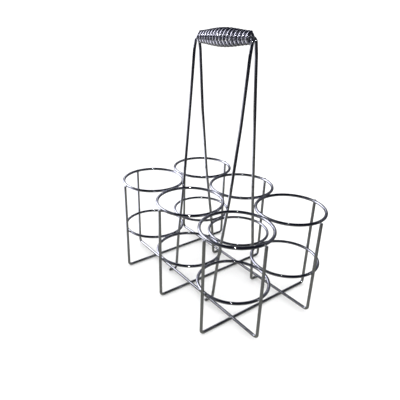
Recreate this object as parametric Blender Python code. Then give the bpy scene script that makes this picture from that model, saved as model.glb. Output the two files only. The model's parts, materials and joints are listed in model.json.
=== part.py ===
"""Six-bottle wire milk crate: a hand carrier of bright-plated steel wire.

Two tiers of six rings hold the bottles upright. They stand on U-shaped base wires, two long ones and
three short ones, which cross under every bottle and turn up outside the rings. Two tall handle wires rise
through the middle of the crate and share one barrel-shaped coil grip, which turns on them.

Metres, +Z up. The origin is on the floor under the middle of the crate. +X runs along the three-bottle side,
from rear to front, and +Y along the two-bottle side, from left to right.
"""

from math import atan2, cos, pi, sin, tan

import bpy
from mathutils import Vector

COLLECTION_NAME = "milk_bottle_crate"

# Bottle cells
CELL_PITCH = 0.090
COLUMNS = {"rear": -1.0, "middle": 0.0, "front": 1.0}
ROWS = {"left": -0.5, "right": 0.5}

# Wire stock, and the clearance left at every welded contact
WIRE_R = 0.0019
GAP = 0.0003
TUBE_SIDES = 8
BEVEL_RESOLUTION = TUBE_SIDES // 2 - 2

# Rings: neighbours almost touch, so the pitch and the stock set their radius
RING_R = (CELL_PITCH - GAP) / 2 - WIRE_R
TOP_RING_Z = 0.1325
LOWER_RING_Z = 0.0600
RING_SEGMENTS = 32

# Base wires: the short ones lie on the floor, and the long ones lie on them
UPRIGHT_OFFSET = RING_R + 2 * WIRE_R + GAP
SHORT_WIRE_Z = WIRE_R
LONG_WIRE_Z = SHORT_WIRE_Z + 2 * WIRE_R + GAP
BASE_BEND_R = 0.0050
BEND_SEGMENTS = 4

# Handle wires: one leg, from the hooked foot up to the flare below the grip, and the top run's corners.
# The top run is bent a little out of level, and rises towards the front
HANDLE_Z = 0.3300
HANDLE_RISE = 0.0020
HANDLE_HALF_LENGTH = 0.0500
HANDLE_HALF_SPACING = WIRE_R + GAP / 2
FOOT = Vector((0.0433, 0.0362, SHORT_WIRE_Z))
HOOK_END_Y = 0.0488
LEG_AT_LOWER_RING = Vector((0.0450, 0.0313, LOWER_RING_Z))
LEG_AT_TOP_RING = Vector((0.0477, 0.0198, 0.1450))
LEG_BELOW_GRIP = Vector((0.0497, 0.0108, 0.2370))
LEG_FLARE = Vector((0.0500, 0.0046, 0.3140))
HANDLE_BEND_R = 0.0045
FLARE_BEND_R = 0.0300
FOOT_BEND_R = 0.0045
LEG_BOW_R = 0.4000
LEG_BOW_SEGMENTS = 2

# Coil grip: an open-wound barrel around the two top runs
GRIP_WIRE_R = 0.0016
GRIP_HALF_LENGTH = 0.0475
GRIP_MIDDLE_R = 0.0096
GRIP_RUNNING_GAP = 0.0005
GRIP_END_R = HANDLE_HALF_SPACING + WIRE_R + GRIP_RUNNING_GAP + GRIP_WIRE_R
GRIP_TURNS = 16
GRIP_SLOPE = atan2(HANDLE_RISE, HANDLE_HALF_LENGTH)
GRIP_POINTS_PER_TURN = 16
GRIP_BARREL_POWER = 1.7


def clear_scene():
    for thing in list(bpy.data.objects):
        bpy.data.objects.remove(thing, do_unlink=True)


def new_collection(name):
    collection = bpy.data.collections.new(name)
    bpy.context.scene.collection.children.link(collection)
    return collection


def plated_steel(name, colour, roughness):
    """A bright plated finish as a metallic Principled BSDF."""
    material = bpy.data.materials.new(name)
    material.use_nodes = True
    shader = material.node_tree.nodes["Principled BSDF"]
    shader.inputs["Base Color"].default_value = (*colour, 1.0)
    shader.inputs["Metallic"].default_value = 1.0
    shader.inputs["Roughness"].default_value = roughness
    material.diffuse_color = (*colour, 1.0)
    return material


def rounded_path(corners, radii, segments):
    """The corners joined by straight runs, each inner corner turned into an arc of its own radius."""
    path = [corners[0]]
    for index in range(1, len(corners) - 1):
        corner = corners[index]
        to_last = (corners[index - 1] - corner).normalized()
        to_next = (corners[index + 1] - corner).normalized()
        turn = pi - to_last.angle(to_next)
        radius = radii[index - 1]
        bisector = (to_last + to_next).normalized()
        centre = corner + bisector * radius / cos(turn / 2)
        start = corner + to_last * radius * tan(turn / 2) - centre
        end = corner + to_next * radius * tan(turn / 2) - centre
        count = segments[index - 1]
        for step in range(count + 1):
            share = step / count
            arm = start * sin((1 - share) * turn) + end * sin(share * turn)
            path.append(centre + arm / sin(turn))
    path.append(corners[-1])
    return path


def wire(name, path, section_r, material, collection, parent, location=(0, 0, 0), tilt=0.0):
    """A round wire along the path, as a curve with a bevel and filled ends."""
    curve = bpy.data.curves.new(name, "CURVE")
    curve.dimensions = "3D"
    curve.bevel_depth = section_r
    curve.bevel_resolution = BEVEL_RESOLUTION
    curve.use_fill_caps = True
    spline = curve.splines.new("POLY")
    spline.points.add(len(path) - 1)
    for point, place in zip(spline.points, path):
        point.co = (*place, 1.0)
        point.tilt = tilt
    spline.use_smooth = True
    curve.materials.append(material)
    thing = bpy.data.objects.new(name, curve)
    thing.location = location
    thing.parent = parent
    collection.objects.link(thing)
    return thing


def ring_mesh(name, material):
    """One bottle ring about its own centre."""
    bpy.ops.mesh.primitive_torus_add(
        major_segments=RING_SEGMENTS,
        minor_segments=TUBE_SIDES,
        major_radius=RING_R,
        minor_radius=WIRE_R,
    )
    pattern = bpy.context.active_object
    mesh = pattern.data
    mesh.name = name
    mesh.shade_smooth()
    mesh.materials.append(material)
    bpy.data.objects.remove(pattern, do_unlink=True)
    return mesh


def add_ring_tier(tier, height, material, collection, parent):
    """Six rings at one height, which share a mesh."""
    mesh = ring_mesh(tier, material)
    for column, x in COLUMNS.items():
        for row, y in ROWS.items():
            ring = bpy.data.objects.new(f"{tier}_{column}_{row}", mesh)
            ring.location = (x * CELL_PITCH, y * CELL_PITCH, height)
            ring.parent = parent
            collection.objects.link(ring)


def base_wire_path(direction, half_span, height):
    """A U in a vertical plane: up at one end, along the base, and up at the other end."""
    reach = direction * half_span
    top = Vector((0, 0, TOP_RING_Z))
    bottom = Vector((0, 0, height))
    corners = [top - reach, bottom - reach, bottom + reach, top + reach]
    return rounded_path(corners, [BASE_BEND_R] * 2, [BEND_SEGMENTS] * 2)


def add_base_wires(collection, parent):
    """The section's flats lie on the round wire's surface, so one flat is the face that rests."""
    flat_r = WIRE_R / cos(pi / TUBE_SIDES)
    flat_tilt = pi / TUBE_SIDES
    long_half = max(COLUMNS.values()) * CELL_PITCH + UPRIGHT_OFFSET
    short_half = max(ROWS.values()) * CELL_PITCH + UPRIGHT_OFFSET
    long_path = base_wire_path(Vector((1, 0, 0)), long_half, LONG_WIRE_Z)
    short_path = base_wire_path(Vector((0, 1, 0)), short_half, SHORT_WIRE_Z)
    long_finish = plated_steel("long_base_wire_plating", (0.72, 0.73, 0.76), 0.14)
    short_finish = plated_steel("short_base_wire_plating", (0.46, 0.46, 0.45), 0.20)
    for row, y in ROWS.items():
        name = f"long_base_wire_{row}"
        place = (0, y * CELL_PITCH, 0)
        wire(name, long_path, flat_r, long_finish, collection, parent, place, flat_tilt)
    for column, x in COLUMNS.items():
        name = f"short_base_wire_{column}"
        place = (x * CELL_PITCH, 0, 0)
        wire(name, short_path, flat_r, short_finish, collection, parent, place, flat_tilt)


def handle_wire_path(side):
    """An inverted U from foot hook to foot hook. side is +1 for the right-hand wire and -1 for the left."""
    hook_end = Vector((FOOT.x, HOOK_END_Y, FOOT.z))
    leg = [hook_end, FOOT, LEG_AT_LOWER_RING, LEG_AT_TOP_RING, LEG_BELOW_GRIP, LEG_FLARE]
    front_corner = Vector((HANDLE_HALF_LENGTH, HANDLE_HALF_SPACING, HANDLE_Z + HANDLE_RISE))
    rear_corner = Vector((-HANDLE_HALF_LENGTH, HANDLE_HALF_SPACING, HANDLE_Z - HANDLE_RISE))
    rear_leg = [Vector((-p.x, p.y, p.z)) for p in reversed(leg)]
    corners = [Vector((p.x, p.y * side, p.z)) for p in [*leg, front_corner, rear_corner, *rear_leg]]
    radii = [FOOT_BEND_R, *[LEG_BOW_R] * 3, FLARE_BEND_R, HANDLE_BEND_R]
    segments = [BEND_SEGMENTS, *[LEG_BOW_SEGMENTS] * 4, BEND_SEGMENTS]
    return rounded_path(corners, radii + radii[::-1], segments + segments[::-1])


def add_handle_wires(collection, parent):
    finish = plated_steel("handle_wire_plating", (0.30, 0.30, 0.31), 0.18)
    for row, y in ROWS.items():
        side = 1 if y > 0 else -1
        wire(f"handle_wire_{row}", handle_wire_path(side), WIRE_R, finish, collection, parent)


def grip_path():
    """The coil's turns about the handle's axis, widest in the middle."""
    half_run = GRIP_HALF_LENGTH - GRIP_WIRE_R
    steps = GRIP_TURNS * GRIP_POINTS_PER_TURN
    path = []
    for step in range(steps + 1):
        along = 2 * step / steps - 1
        swell = max(0.0, cos(along * pi / 2)) ** GRIP_BARREL_POWER
        radius = GRIP_END_R + (GRIP_MIDDLE_R - GRIP_END_R) * swell
        angle = pi * GRIP_TURNS * along
        path.append(Vector((along * half_run, radius * sin(angle), radius * cos(angle))))
    return path


def add_coil_grip(collection, axis_empty):
    finish = plated_steel("coil_grip_plating", (0.42, 0.42, 0.45), 0.16)
    wire("coil_grip", grip_path(), GRIP_WIRE_R, finish, collection, axis_empty)


def new_empty(name, location, collection, parent=None):
    empty = bpy.data.objects.new(name, None)
    empty.location = location
    empty.parent = parent
    collection.objects.link(empty)
    return empty


def main():
    clear_scene()
    collection = new_collection(COLLECTION_NAME)
    frame = new_empty("crate_frame", (0, 0, 0), collection)
    grip_axis = new_empty("grip_axis", (0, 0, HANDLE_Z), collection, frame)
    grip_axis.rotation_euler.y = -GRIP_SLOPE
    top_finish = plated_steel("top_ring_plating", (0.52, 0.53, 0.60), 0.10)
    lower_finish = plated_steel("lower_ring_plating", (0.50, 0.51, 0.58), 0.10)
    add_ring_tier("top_ring", TOP_RING_Z, top_finish, collection, frame)
    add_ring_tier("lower_ring", LOWER_RING_Z, lower_finish, collection, frame)
    add_base_wires(collection, frame)
    add_handle_wires(collection, frame)
    add_coil_grip(collection, grip_axis)


main()
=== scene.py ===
"""Looks of the six-bottle wire milk crate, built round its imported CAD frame.

Every CAD wire is replaced by a fine round wire on the same centre line, to within 0.2 mm, with chamfered cut
ends. Weld nuggets join the wires wherever two of them touch, and the plating is duller round each weld.
"""

import json
from math import ceil, cos, exp, pi, radians, sin, tan

import bmesh
import bpy
import numpy as np
from mathutils import Matrix, Vector, noise


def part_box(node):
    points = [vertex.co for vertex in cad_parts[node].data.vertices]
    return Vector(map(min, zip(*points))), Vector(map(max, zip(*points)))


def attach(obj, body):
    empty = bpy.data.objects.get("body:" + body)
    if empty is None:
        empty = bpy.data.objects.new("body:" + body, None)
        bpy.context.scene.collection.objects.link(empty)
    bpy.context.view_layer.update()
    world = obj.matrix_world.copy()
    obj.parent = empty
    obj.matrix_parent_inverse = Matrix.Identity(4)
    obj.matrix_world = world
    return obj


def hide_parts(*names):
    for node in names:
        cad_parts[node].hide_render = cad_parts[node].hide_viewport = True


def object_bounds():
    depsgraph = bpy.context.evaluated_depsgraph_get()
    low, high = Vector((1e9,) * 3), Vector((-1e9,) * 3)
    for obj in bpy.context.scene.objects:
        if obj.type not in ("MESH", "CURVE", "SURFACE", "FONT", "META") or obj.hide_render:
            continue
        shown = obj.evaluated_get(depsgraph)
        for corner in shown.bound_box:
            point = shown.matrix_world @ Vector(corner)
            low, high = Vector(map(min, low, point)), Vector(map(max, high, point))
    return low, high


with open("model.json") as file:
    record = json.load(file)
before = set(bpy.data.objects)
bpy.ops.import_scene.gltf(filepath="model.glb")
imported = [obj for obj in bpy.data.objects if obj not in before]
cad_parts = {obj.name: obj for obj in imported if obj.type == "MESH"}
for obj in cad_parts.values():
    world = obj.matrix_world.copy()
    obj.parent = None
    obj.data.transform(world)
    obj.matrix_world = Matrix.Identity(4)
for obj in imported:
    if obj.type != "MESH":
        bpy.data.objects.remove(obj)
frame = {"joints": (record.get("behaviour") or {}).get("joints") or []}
CAD_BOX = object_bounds()

FRAME_BODY = "frame"
GRIP_BODY = "grip"
COLUMNS = ("rear", "middle", "front")
ROWS = ("left", "right")
TIERS = ("lower_ring", "top_ring")

# Wire stock and bends, in metres, as in the CAD model
WIRE_R = 0.0019
GRIP_WIRE_R = 0.0016
BASE_BEND_R = 0.0050
HANDLE_BEND_R = 0.0045
FLARE_BEND_R = 0.0300
FOOT_BEND_R = 0.0045
LEG_BOW_R = 0.4000

# One leg of the handle wires, from the hooked foot up to the flare below the grip, and the top run's corners
FOOT = Vector((0.0433, 0.0362, WIRE_R))
HOOK_END_Y = 0.0488
LEG_AT_LOWER_RING = Vector((0.0450, 0.0313, 0.0600))
LEG_AT_TOP_RING = Vector((0.0477, 0.0198, 0.1450))
LEG_BELOW_GRIP = Vector((0.0497, 0.0108, 0.2370))
LEG_FLARE = Vector((0.0500, 0.0046, 0.3140))
HANDLE_RISE = 0.0020
HANDLE_HALF_LENGTH = 0.0500
HANDLE_HALF_SPACING = 0.00205

# Coil grip, as in the CAD model but for its middle: 0.1 mm slimmer, so that the smooth coil stays inside the
# faceted one's box
GRIP_CENTRE = Vector(frame["joints"][0]["pos_m"])
GRIP_AXIS = Vector(frame["joints"][0]["axis"]).normalized()
GRIP_HALF_LENGTH = 0.0475
GRIP_MIDDLE_R = 0.0095
GRIP_END_R = 0.00605
GRIP_BARREL_POWER = 1.7
GRIP_TURNS = 16
GRIP_POINTS_PER_TURN = 40

# Mesh fineness
WIRE_SIDES = 20
GRIP_SIDES = 16
STUB_SIDES = 16
RING_STEPS = 120
BEND_STEPS = 8
BOW_STEPS = 5
LONGEST_STEP = 0.003
END_CHAMFER = 0.00035
SHARP_ANGLE = radians(40)
NEAR_UPRIGHT = 0.9

# Butt weld of each ring: a slight upset where its ends meet, at a place that differs from ring to ring
BUTT_UPSET = 0.00010
BUTT_WIDTH = 0.0011
BUTT_PLACE = 0.0220
RING_START_TURN = 2.4

# Hand-formed rings are a little out of round and out of level, each by noise read at its own place
RING_OUT_OF_ROUND = 0.00015
RING_OUT_OF_LEVEL = 0.00012
RING_NOISE_REACH = 0.9
RING_NOISE_STRIDE = 5.3

# Welds: where two centre lines come this close, a nugget joins the wires
CONTACT_DISTANCE = 0.0045
CONTACT_SPACING = 0.010
CONTACT_SAMPLE = 0.0005
NUGGET_HALF_THICKNESS = 0.0011
NUGGET_HALF_WIDTH = 0.00125
NUGGET_HALF_LENGTH = 0.0036
NUGGET_SUBDIVISIONS = 3
NUGGET_LUMPS = 0.00022
NUGGET_LUMP_SIZE = 0.0013
SMALLEST_CROSSING = 0.01
STUB_MARGIN = 0.0016
STUB_R = 0.00184
WELD_VOXEL = 0.00030
WELD_SMOOTHING = 5
WELD_SMOOTHING_FACTOR = 0.5

# The plating is dullest this near a weld, and clean again this far from it
DULL_FROM = 0.0020
DULL_TO = 0.0080

# Plated steel: colours, and roughness for each kind of wire
STEEL = (0.60, 0.61, 0.64)
RING_STEEL = (0.53, 0.54, 0.60)
# The grip's plating is lighter and bluer than the other wires': painted sheen, standing in for brighter
# reflections that its loops do not get from the room
GRIP_STEEL_PAINTED_SHEEN = (0.76, 0.76, 0.82)
WELD_STEEL = (0.50, 0.51, 0.53)
RING_ROUGHNESS = 0.06
BASE_ROUGHNESS = 0.07
HANDLE_ROUGHNESS = 0.08
GRIP_ROUGHNESS = 0.10
WELD_ROUGHNESS = 0.12

# The plating's draw lines, clouding and ripple. Each noise has its scale and detail, and each bump its
# strength and distance. The stretch is how little the draw lines change along the wire
DRAW_LINES = (2600.0, 3.0)
DRAW_LINE_STRETCH = 0.02
DRAW_LINE_RANGE = (0.25, 0.75)
DRAW_LINE_GLOSS = (0.7, 1.4)
DRAW_LINE_BUMP = (0.10, 0.00002)
CLOUDS = (70.0, 4.0)
CLOUD_RANGE = (0.30, 0.70)
CLOUD_SHADE = 0.90
RIPPLE = (150.0, 1.0)
RIPPLE_BUMP = (0.15, 0.00020)
WELD_DULLING = 0.16

# Floor. In the wires' reflections it is a painted glow: dim, with painted pools of light that the floor
# itself emits. Each pool has its middle, its inner and outer radius, and its colour
FLOOR_SIZE = 80.0
FLOOR_WHITE = (0.93, 0.93, 0.93)
FLOOR_PAINTED_DIM_GLOW = (0.025, 0.025, 0.030)
FLOOR_PAINTED_LIGHT_POOLS = (
    ((-0.30, -0.02, 0.0), (0.48, 0.85), (0.215, 0.215, 0.195)),
    ((-3.20, -2.20, 0.0), (2.60, 3.20), (0.75, 0.75, 0.85)),
    ((-0.38, -0.20, 0.0), (0.15, 0.29), (2.10, 2.10, 2.35)),
)

# Room. The floor and the camera get the even light, and the wires reflect softboxes in a dark studio. Each
# softbox has its middle azimuth, half width, lower and upper edge, all in degrees, and its brightness. Its
# edges fade over SOFTBOX_EDGE degrees
EVEN_LIGHT = (1.32, 1.32, 1.32)
ROOM = (0.006, 0.008, 0.017)
SOFTBOX_TINT = (0.95, 0.95, 1.05)
SOFTBOXES = (
    (-124, 12, 18, 31, 1.0),
    (-162, 25, 5, 46, 3.2),
    (152, 14, 20, 32, 1.5),
    (-150, 60, 10, 60, 0.12),
    (100, 45, 10, 45, 0.12),
)
SOFTBOX_EDGE = 4.0
HALF_TURN = 180.0

# Flash: a small lamp above the camera
FLASH_HEIGHT = 0.105
FLASH_SIZE = 0.030
FLASH_POWER = 0.5
FLASH_AIM = Vector((0, 0, 0.12))

# Camera: the photograph's angle. The crate stood right of the lens's middle, which the shift repeats
CAMERA_PLACE = Vector((0.39385, -0.33895, 0.36385))
CAMERA_YAW = radians(145.535)
CAMERA_PITCH = radians(25.106)
CAMERA_LENS = 37.484
CAMERA_SHIFT = 0.0625
CAMERA_SENSOR = 36.0
CAMERA_NEAREST = 0.01


# ---------------------------------------------------------------- materials


def texture(nodes, links, attribute, noise_kind):
    """Noise on one of the coordinates that every wire carries: grain runs along it, place is where it is."""
    source = nodes.new("ShaderNodeAttribute")
    source.attribute_name = attribute
    node = nodes.new("ShaderNodeTexNoise")
    node.inputs["Scale"].default_value = noise_kind[0]
    node.inputs["Detail"].default_value = noise_kind[1]
    links.new(source.outputs["Vector"], node.inputs["Vector"])
    return node.outputs["Fac"]


def remap(nodes, links, source, source_range, result_range):
    """The source's range stretched on to the result's, and held at its ends."""
    node = nodes.new("ShaderNodeMapRange")
    node.inputs["From Min"].default_value = source_range[0]
    node.inputs["From Max"].default_value = source_range[1]
    node.inputs["To Min"].default_value = result_range[0]
    node.inputs["To Max"].default_value = result_range[1]
    links.new(source, node.inputs["Value"])
    return node.outputs["Result"]


def blended(nodes, links, factor, first, second):
    """A colour between two, where each is a fixed colour or another node's output."""
    node = nodes.new("ShaderNodeMix")
    node.data_type = "RGBA"
    links.new(factor, node.inputs["Factor"])
    for name, value in (("A", first), ("B", second)):
        if isinstance(value, tuple):
            node.inputs[name].default_value = (*value, 1.0)
        else:
            links.new(value, node.inputs[name])
    return node.outputs["Result"]


def calculated(nodes, links, operation, *values):
    """A maths node of these values, each a number or another node's output."""
    node = nodes.new("ShaderNodeMath")
    node.operation = operation
    for socket, value in zip(node.inputs, values):
        if isinstance(value, (int, float)):
            socket.default_value = value
        else:
            links.new(value, socket)
    return node.outputs["Value"]


def bumped(nodes, links, height, bump_kind, below=None):
    """A bump's normal, laid over another bump's where one is given."""
    node = nodes.new("ShaderNodeBump")
    node.inputs["Strength"].default_value = bump_kind[0]
    node.inputs["Distance"].default_value = bump_kind[1]
    links.new(height, node.inputs["Height"])
    if below is not None:
        links.new(below, node.inputs["Normal"])
    return node.outputs["Normal"]


def plated_steel(name, colour, roughness):
    """Bright plating over drawn wire: draw lines along it, a soft ripple, and a duller skin by the welds."""
    material = bpy.data.materials.new(name)
    material.use_nodes = True
    nodes, links = material.node_tree.nodes, material.node_tree.links
    shader = nodes["Principled BSDF"]
    shader.inputs["Metallic"].default_value = 1.0

    lines = texture(nodes, links, "grain", DRAW_LINES)
    clouds = texture(nodes, links, "place", CLOUDS)
    ripple = texture(nodes, links, "place", RIPPLE)
    weld = nodes.new("ShaderNodeAttribute")
    weld.attribute_name = "weld"

    cloudy = remap(nodes, links, clouds, CLOUD_RANGE, (0.0, 1.0))
    shaded = tuple(channel * CLOUD_SHADE for channel in colour)
    plate = blended(nodes, links, cloudy, shaded, colour)
    tint = blended(nodes, links, weld.outputs["Fac"], plate, WELD_STEEL)
    links.new(tint, shader.inputs["Base Color"])

    drawn_range = tuple(roughness * gloss for gloss in DRAW_LINE_GLOSS)
    drawn = remap(nodes, links, lines, DRAW_LINE_RANGE, drawn_range)
    dulled = remap(nodes, links, weld.outputs["Fac"], (0.0, 1.0), (0.0, WELD_DULLING))
    links.new(calculated(nodes, links, "ADD", drawn, dulled), shader.inputs["Roughness"])

    fine = bumped(nodes, links, lines, DRAW_LINE_BUMP)
    links.new(bumped(nodes, links, ripple, RIPPLE_BUMP, fine), shader.inputs["Normal"])
    return material


# ---------------------------------------------------------------- wire paths


def rounded_path(corners, radii, steps):
    """The corners joined by straight runs, each inner corner turned into an arc of its own radius."""
    path = [corners[0]]
    for index in range(1, len(corners) - 1):
        corner = corners[index]
        to_last = (corners[index - 1] - corner).normalized()
        to_next = (corners[index + 1] - corner).normalized()
        turn = pi - to_last.angle(to_next)
        radius = radii[index - 1]
        centre = corner + (to_last + to_next).normalized() * radius / cos(turn / 2)
        start = corner + to_last * radius * tan(turn / 2) - centre
        end = corner + to_next * radius * tan(turn / 2) - centre
        count = steps[index - 1]
        for step in range(count + 1):
            share = step / count
            arm = start * sin((1 - share) * turn) + end * sin(share * turn)
            path.append(centre + arm / sin(turn))
    path.append(corners[-1])
    return path


def divided(path, longest):
    """The same path with its long runs cut into steps no longer than this."""
    result = [path[0]]
    for here, there in zip(path, path[1:]):
        count = max(1, ceil((there - here).length / longest))
        result += [here.lerp(there, step / count) for step in range(1, count + 1)]
    return result


def ring_path(node, index):
    """A ring that starts at its own angle and is a little out of round and out of level."""
    low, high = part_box(node)
    centre = (low + high) / 2
    radius = (high.x - low.x) / 2 - WIRE_R
    path = []
    for step in range(RING_STEPS):
        angle = 2 * pi * step / RING_STEPS + index * RING_START_TURN
        out = Vector((cos(angle), sin(angle), 0))
        bulge = noise.noise(out * RING_NOISE_REACH + Vector((index * RING_NOISE_STRIDE, 0, 0)))
        tilt = noise.noise(out * RING_NOISE_REACH + Vector((0, index * RING_NOISE_STRIDE, 0)))
        point = centre + out * (radius - abs(bulge) * RING_OUT_OF_ROUND)
        point.z += tilt * RING_OUT_OF_LEVEL
        path.append(point)
    return path


def base_wire_path(node):
    """The U of a base wire, read from its box: its long side in plan is the way it runs."""
    low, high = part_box(node)
    centre = (low + high) / 2
    along = Vector((1, 0, 0)) if high.x - low.x > high.y - low.y else Vector((0, 1, 0))
    reach = along * ((high - low).dot(along) / 2 - WIRE_R)
    top = Vector((centre.x, centre.y, high.z))
    bottom = Vector((centre.x, centre.y, low.z + WIRE_R))
    corners = [top - reach, bottom - reach, bottom + reach, top + reach]
    return divided(rounded_path(corners, [BASE_BEND_R] * 2, [BEND_STEPS] * 2), LONGEST_STEP)


def handle_wire_path(node):
    """An inverted U from foot hook to foot hook, whose top run rises towards the front."""
    low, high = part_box(node)
    side = 1 if low.y + high.y > 0 else -1
    hook_end = Vector((FOOT.x, HOOK_END_Y, FOOT.z))
    leg = [hook_end, FOOT, LEG_AT_LOWER_RING, LEG_AT_TOP_RING, LEG_BELOW_GRIP, LEG_FLARE]
    front_corner = GRIP_CENTRE + Vector((HANDLE_HALF_LENGTH, HANDLE_HALF_SPACING, HANDLE_RISE))
    rear_corner = GRIP_CENTRE + Vector((-HANDLE_HALF_LENGTH, HANDLE_HALF_SPACING, -HANDLE_RISE))
    rear_leg = [Vector((-p.x, p.y, p.z)) for p in reversed(leg)]
    corners = [Vector((p.x, p.y * side, p.z)) for p in [*leg, front_corner, rear_corner, *rear_leg]]
    radii = [FOOT_BEND_R, *[LEG_BOW_R] * 3, FLARE_BEND_R, HANDLE_BEND_R]
    steps = [BEND_STEPS, *[BOW_STEPS] * 4, BEND_STEPS]
    return divided(rounded_path(corners, radii + radii[::-1], steps + steps[::-1]), LONGEST_STEP)


def grip_path():
    """The coil's turns about the handle's axis, widest in the middle."""
    half_run = GRIP_HALF_LENGTH - GRIP_WIRE_R
    aside = Vector((0, 1, 0))
    upward = GRIP_AXIS.cross(aside)
    steps = GRIP_TURNS * GRIP_POINTS_PER_TURN
    path = []
    for step in range(steps + 1):
        along = 2 * step / steps - 1
        swell = max(0.0, cos(along * pi / 2)) ** GRIP_BARREL_POWER
        radius = GRIP_END_R + (GRIP_MIDDLE_R - GRIP_END_R) * swell
        angle = pi * GRIP_TURNS * along
        out = aside * sin(angle) + upward * cos(angle)
        path.append(GRIP_CENTRE + GRIP_AXIS * along * half_run + out * radius)
    return path


# ---------------------------------------------------------------- contacts


def samples(path, closed):
    """Evenly fine points on a path, with the way it runs at each."""
    loop = path + path[:1] if closed else path
    points = divided(loop, CONTACT_SAMPLE)
    tangents = [(there - here).normalized() for here, there in zip(points, points[1:])]
    return points, [*tangents, tangents[-1]]


def contacts_between(first, second):
    """Where two sampled wires touch: (place, way across, first's tangent, second's tangent) for each."""
    a = np.array(first[0], float)
    b = np.array(second[0], float)
    apart = np.linalg.norm(a[:, None, :] - b[None, :, :], axis=2)
    nearest = apart.min(axis=1)
    found = []
    while nearest.min() < CONTACT_DISTANCE:
        i = int(nearest.argmin())
        j = int(apart[i].argmin())
        place = (first[0][i] + second[0][j]) / 2
        across = (second[0][j] - first[0][i]).normalized()
        found.append((place, across, first[1][i], second[1][j]))
        taken = np.linalg.norm(a - np.array(place, float), axis=1) < CONTACT_SPACING
        nearest[taken] = np.inf
    return found


def weld_group(first, second):
    """Welds are grouped by the kind of wire that they join."""
    both = first + " " + second
    if "handle" in both:
        return "handle_welds"
    if "top_ring" in both:
        return "top_ring_welds"
    if "lower_ring" in both:
        return "lower_ring_welds"
    return "base_welds"


# ---------------------------------------------------------------- meshes


def path_frames(path, closed):
    """(point, normal, binormal, length so far) along the path, with no more twist than the path needs."""
    count = len(path)
    frames = []
    normal = None
    travelled = 0.0
    for index, point in enumerate(path):
        last = path[index - 1] if closed or index > 0 else point
        following = path[(index + 1) % count] if closed or index < count - 1 else point
        tangent = (following - last).normalized()
        if normal is None:
            guide = Vector((0, 0, 1)) if abs(tangent.z) < NEAR_UPRIGHT else Vector((1, 0, 0))
            normal = guide - tangent * guide.dot(tangent)
        else:
            normal = normal - tangent * normal.dot(tangent)
            travelled += (point - path[index - 1]).length
        normal.normalize()
        frames.append((point, normal.copy(), tangent.cross(normal), travelled))
    return frames


def chamfered(frames, radius):
    """An open wire's sections, each (point, normal, binormal, travelled, radius), with chamfered ends."""
    first, last = frames[0], frames[-1]
    inward = (frames[1][0] - first[0]).normalized() * END_CHAMFER
    outward = (last[0] - frames[-2][0]).normalized() * END_CHAMFER
    start = (first[0] + inward, first[1], first[2], END_CHAMFER, radius)
    finish = (last[0] - outward, last[1], last[2], last[3] - END_CHAMFER, radius)
    middle = [(*entry, radius) for entry in frames[1:-1]]
    narrow = radius - END_CHAMFER
    return [(*first, narrow), start, *middle, finish, (*last, narrow)]


def add_tube(bm, sections, sides, closed):
    """Skins the sections into the mesh being built, with grain coordinates that run along the wire."""
    grain = bm.verts.layers.float_vector["grain"]
    rows = []
    for point, normal, binormal, travelled, radius in sections:
        row = []
        for side in range(sides):
            angle = 2 * pi * side / sides
            out = normal * cos(angle) + binormal * sin(angle)
            vertex = bm.verts.new(point + out * radius)
            vertex[grain] = Vector((cos(angle) * radius, sin(angle) * radius, travelled * DRAW_LINE_STRETCH))
            row.append(vertex)
        rows.append(row)
    pairs = list(zip(rows, rows[1:]))
    if closed:
        pairs.append((rows[-1], rows[0]))
    for here, there in pairs:
        for side in range(sides):
            after = (side + 1) % sides
            bm.faces.new((here[side], here[after], there[after], there[side]))
    if not closed:
        bm.faces.new(rows[0][::-1])
        bm.faces.new(rows[-1])


def new_wire_mesh():
    """An empty mesh to build, with the layers that the plating reads."""
    bm = bmesh.new()
    bm.verts.layers.float_vector.new("grain")
    bm.verts.layers.float_vector.new("place")
    bm.verts.layers.float.new("weld")
    return bm


def finish_piece(name, bm, material, body, welds):
    """The built mesh as a smooth object that rides on its body, duller near the welds."""
    place = bm.verts.layers.float_vector["place"]
    dull = bm.verts.layers.float["weld"]
    for vertex in bm.verts:
        vertex[place] = vertex.co
        nearest = min(((vertex.co - weld).length for weld in welds), default=DULL_TO)
        share = min(1.0, max(0.0, (DULL_TO - nearest) / (DULL_TO - DULL_FROM)))
        vertex[dull] = share * share * (3 - 2 * share)
    bmesh.ops.recalc_face_normals(bm, faces=bm.faces)
    mesh = bpy.data.meshes.new(name)
    bm.to_mesh(mesh)
    bm.free()
    mesh.materials.append(material)
    mesh.shade_smooth()
    mesh.set_sharp_from_angle(angle=SHARP_ANGLE)
    piece = bpy.data.objects.new(name, mesh)
    bpy.context.scene.collection.objects.link(piece)
    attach(piece, body)
    return piece


def butt_upset(travelled):
    """How much a ring's wire swells at its butt weld."""
    return BUTT_UPSET * exp(-(((travelled - BUTT_PLACE) / BUTT_WIDTH) ** 2))


def add_wire(node, path, closed, material, welds):
    """The fine wire that stands for one CAD node."""
    frames = path_frames(path, closed)
    if closed:
        sections = [(*entry, WIRE_R + butt_upset(entry[3])) for entry in frames]
    else:
        sections = chamfered(frames, WIRE_R)
    bm = new_wire_mesh()
    add_tube(bm, sections, WIRE_SIDES, closed)
    piece = finish_piece(f"{node}_wire", bm, material, FRAME_BODY, welds)
    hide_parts(node)


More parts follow.
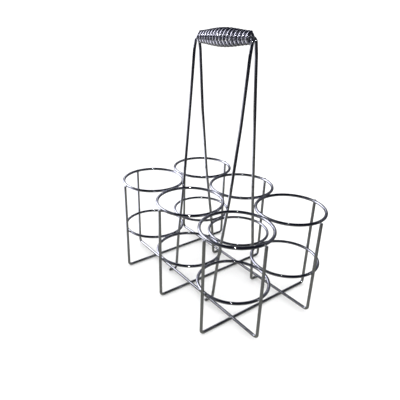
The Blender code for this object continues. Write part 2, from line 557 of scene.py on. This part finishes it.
def add_nugget(bm, place, across, tangent_a, tangent_b):
    """A lumpy lens of weld metal between two wires, longer where they run side by side."""
    if tangent_a.dot(tangent_b) < 0:
        tangent_b = -tangent_b
    along = tangent_a + tangent_b
    along = (along - across * along.dot(across)).normalized()
    aside = across.cross(along)
    crossing = max(SMALLEST_CROSSING, tangent_a.cross(tangent_b).length)
    half_length = min(NUGGET_HALF_LENGTH, NUGGET_HALF_WIDTH / crossing)
    turn = Matrix((along, aside, across)).transposed().to_4x4()
    size = Matrix.Diagonal((half_length, NUGGET_HALF_WIDTH, NUGGET_HALF_THICKNESS, 1.0))
    matrix = Matrix.Translation(place) @ turn @ size
    made = bmesh.ops.create_icosphere(bm, subdivisions=NUGGET_SUBDIVISIONS, radius=1.0, matrix=matrix)
    for vertex in made["verts"]:
        outward = (vertex.co - place).normalized()
        vertex.co += outward * noise.noise(vertex.co / NUGGET_LUMP_SIZE) * NUGGET_LUMPS
    return half_length


def stub(path_points, place, reach):
    """Every second point of a sampled wire within reach of a place."""
    return [point for point in path_points if (point - place).length < reach][::2]


def add_welds(name, contacts, sampled, material):
    """One piece for a group of welds: nuggets and short stubs of both wires, melted together and smoothed."""
    bm = new_wire_mesh()
    for first, second, contact in contacts:
        half_length = add_nugget(bm, *contact)
        for wire in (first, second):
            run = stub(sampled[wire][0], contact[0], half_length + WIRE_R + STUB_MARGIN)
            sections = [(*entry, STUB_R) for entry in path_frames(run, False)]
            add_tube(bm, sections, STUB_SIDES, False)
    bmesh.ops.recalc_face_normals(bm, faces=bm.faces)
    mesh = bpy.data.meshes.new(name)
    bm.to_mesh(mesh)
    bm.free()
    raw = bpy.data.objects.new(name, mesh)
    bpy.context.scene.collection.objects.link(raw)
    melt = raw.modifiers.new("melt", "REMESH")
    melt.mode = "VOXEL"
    melt.voxel_size = WELD_VOXEL
    soften = raw.modifiers.new("soften", "SMOOTH")
    soften.iterations = WELD_SMOOTHING
    soften.factor = WELD_SMOOTHING_FACTOR
    graph = bpy.context.evaluated_depsgraph_get()
    melted = bpy.data.meshes.new_from_object(raw.evaluated_get(graph))
    bpy.data.objects.remove(raw)
    bm = new_wire_mesh()
    bm.from_mesh(melted)
    grain = bm.verts.layers.float_vector["grain"]
    for vertex in bm.verts:
        vertex[grain] = vertex.co
    finish_piece(name, bm, material, FRAME_BODY, [contact[0] for _, _, contact in contacts])


# ---------------------------------------------------------------- the crate


ring_plate = plated_steel("ring_plating", RING_STEEL, RING_ROUGHNESS)
base_plate = plated_steel("base_wire_plating", STEEL, BASE_ROUGHNESS)
handle_plate = plated_steel("handle_plating", STEEL, HANDLE_ROUGHNESS)
# The grip's plating carries painted sheen: its colour is lighter than the other wires' to stand in for
# reflected light
grip_plate_and_painted_sheen = plated_steel("grip_plating_and_painted_sheen", GRIP_STEEL_PAINTED_SHEEN, GRIP_ROUGHNESS)
weld_plate = plated_steel("weld_plating", STEEL, WELD_ROUGHNESS)

RINGS = [f"{tier}_{column}_{row}" for tier in TIERS for column in COLUMNS for row in ROWS]
LONG_WIRES = [f"long_base_wire_{row}" for row in ROWS]
SHORT_WIRES = [f"short_base_wire_{column}" for column in COLUMNS]
HANDLE_WIRES = [f"handle_wire_{row}" for row in ROWS]

paths = {node: ring_path(node, index) for index, node in enumerate(RINGS)}
paths.update((node, base_wire_path(node)) for node in LONG_WIRES + SHORT_WIRES)
paths.update((node, handle_wire_path(node)) for node in HANDLE_WIRES)
sampled = {node: samples(path, node in RINGS) for node, path in paths.items()}

names = list(paths)
contacts = [
    (first, second, contact)
    for index, first in enumerate(names)
    for second in names[index + 1 :]
    for contact in contacts_between(sampled[first], sampled[second])
]

PLATES = {
    "top_ring": ring_plate,
    "lower_ring": ring_plate,
    "long_base_wire": base_plate,
    "short_base_wire": base_plate,
    "handle_wire": handle_plate,
}
for node, path in paths.items():
    family = next(name for name in PLATES if node.startswith(name))
    welds = [contact[0] for first, second, contact in contacts if node in (first, second)]
    add_wire(node, path, node in RINGS, PLATES[family], welds)

WELD_SLOTS = {
    "top_ring_welds": "top_ring_plating",
    "lower_ring_welds": "lower_ring_plating",
    "base_welds": "long_base_wire_plating",
    "handle_welds": "handle_wire_plating",
}
for group, slot in WELD_SLOTS.items():
    members = [entry for entry in contacts if weld_group(entry[0], entry[1]) == group]
    add_welds(group, members, sampled, weld_plate)

coil = new_wire_mesh()
coil_sections = chamfered(path_frames(grip_path(), False), GRIP_WIRE_R)
add_tube(coil, coil_sections, GRIP_SIDES, False)
grip = finish_piece("coil_grip_wire", coil, grip_plate_and_painted_sheen, GRIP_BODY, [])
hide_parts("coil_grip")


# ---------------------------------------------------------------- floor, light and camera


def add_floor():
    """A pale floor to the camera. The wires reflect a dim painted glow on it, with painted pools of light."""
    bpy.ops.mesh.primitive_plane_add(size=FLOOR_SIZE, location=(0, 0, CAD_BOX[0][2]))
    floor = bpy.context.object
    floor.name = "floor"
    material = bpy.data.materials.new("floor_paint")
    material.use_nodes = True
    nodes, links = material.node_tree.nodes, material.node_tree.links
    shader = nodes["Principled BSDF"]
    shader.inputs["Base Color"].default_value = (*FLOOR_WHITE, 1.0)
    shader.inputs["Roughness"].default_value = 1.0
    shader.inputs["Specular IOR Level"].default_value = 0.0
    place = nodes.new("ShaderNodeNewGeometry")
    light = FLOOR_PAINTED_DIM_GLOW
    for middle, edges, colour in FLOOR_PAINTED_LIGHT_POOLS:
        away = nodes.new("ShaderNodeVectorMath")
        away.operation = "DISTANCE"
        away.inputs[1].default_value = middle
        links.new(place.outputs["Position"], away.inputs[0])
        far = remap(nodes, links, away.outputs["Value"], edges, (0.0, 1.0))
        light = blended(nodes, links, far, colour, light)
    # Painted light: the floor glows dimly, with brighter pools, and only the wires' reflections see it
    glow = nodes.new("ShaderNodeEmission")
    links.new(light, glow.inputs["Color"])
    path = nodes.new("ShaderNodeLightPath")
    mix = nodes.new("ShaderNodeMixShader")
    links.new(path.outputs["Is Glossy Ray"], mix.inputs["Fac"])
    links.new(shader.outputs["BSDF"], mix.inputs[1])
    links.new(glow.outputs["Emission"], mix.inputs[2])
    links.new(mix.outputs["Shader"], nodes["Material Output"].inputs["Surface"])
    floor.data.materials.append(material)


def edge(nodes, links, angle, place, inside):
    """A soft edge across an angle: 1 on the inside, which is above (1) or below (-1) its place, else 0."""
    half = SOFTBOX_EDGE / 2 * inside
    return remap(nodes, links, angle, (place - half, place + half), (0.0, 1.0))


def add_room():
    """The studio that the wires reflect. The floor and the camera get even white light."""
    world = bpy.data.worlds.new("studio")
    bpy.context.scene.world = world
    world.use_nodes = True
    nodes, links = world.node_tree.nodes, world.node_tree.links
    direction = nodes.new("ShaderNodeSeparateXYZ")
    links.new(nodes.new("ShaderNodeTexCoord").outputs["Generated"], direction.inputs["Vector"])
    turn = calculated(nodes, links, "ARCTAN2", direction.outputs["Y"], direction.outputs["X"])
    azimuth = calculated(nodes, links, "DEGREES", turn)
    rise = calculated(nodes, links, "ARCSINE", direction.outputs["Z"])
    elevation = calculated(nodes, links, "DEGREES", rise)
    light = 0.0
    for middle, half_width, bottom, top, level in SOFTBOXES:
        beside = calculated(nodes, links, "SUBTRACT", azimuth, middle)
        beside = calculated(nodes, links, "WRAP", beside, HALF_TURN, -HALF_TURN)
        beside = calculated(nodes, links, "ABSOLUTE", beside)
        shape = edge(nodes, links, beside, half_width, -1)
        for place, inside in ((bottom, 1), (top, -1)):
            within = edge(nodes, links, elevation, place, inside)
            shape = calculated(nodes, links, "MULTIPLY", shape, within)
        shining = calculated(nodes, links, "MULTIPLY", shape, level)
        light = calculated(nodes, links, "MAXIMUM", shining, light)
    tinted = nodes.new("ShaderNodeVectorMath")
    tinted.operation = "MULTIPLY_ADD"
    links.new(light, tinted.inputs[0])
    tinted.inputs[1].default_value = SOFTBOX_TINT
    tinted.inputs[2].default_value = ROOM
    path = nodes.new("ShaderNodeLightPath")
    seen = blended(nodes, links, path.outputs["Is Glossy Ray"], EVEN_LIGHT, tinted.outputs["Vector"])
    links.new(seen, nodes["Background"].inputs["Color"])


def add_flash():
    """A small lamp just above the camera, for the sparks on the rings."""
    lamp = bpy.data.lights.new("flash", "AREA")
    lamp.shape = "DISK"
    lamp.size = FLASH_SIZE
    lamp.energy = FLASH_POWER
    flash = bpy.data.objects.new("flash", lamp)
    bpy.context.scene.collection.objects.link(flash)
    flash.location = CAMERA_PLACE + Vector((0, 0, FLASH_HEIGHT))
    aim = FLASH_AIM - flash.location
    flash.rotation_mode = "QUATERNION"
    flash.rotation_quaternion = aim.to_track_quat("-Z", "Y")


def add_camera():
    """The camera at the photograph's viewing angle."""
    lens = bpy.data.cameras.new("camera")
    lens.lens = CAMERA_LENS
    lens.sensor_width = CAMERA_SENSOR
    lens.shift_x = CAMERA_SHIFT
    lens.clip_start = CAMERA_NEAREST
    camera = bpy.data.objects.new("camera", lens)
    bpy.context.scene.collection.objects.link(camera)
    level = cos(CAMERA_PITCH)
    ahead = Vector((level * cos(CAMERA_YAW), level * sin(CAMERA_YAW), -sin(CAMERA_PITCH)))
    camera.location = CAMERA_PLACE
    camera.rotation_mode = "QUATERNION"
    camera.rotation_quaternion = ahead.to_track_quat("-Z", "Y")
    bpy.context.scene.camera = camera


add_floor()
add_room()
add_flash()
add_camera()
bpy.context.scene.view_settings.view_transform = "Standard"
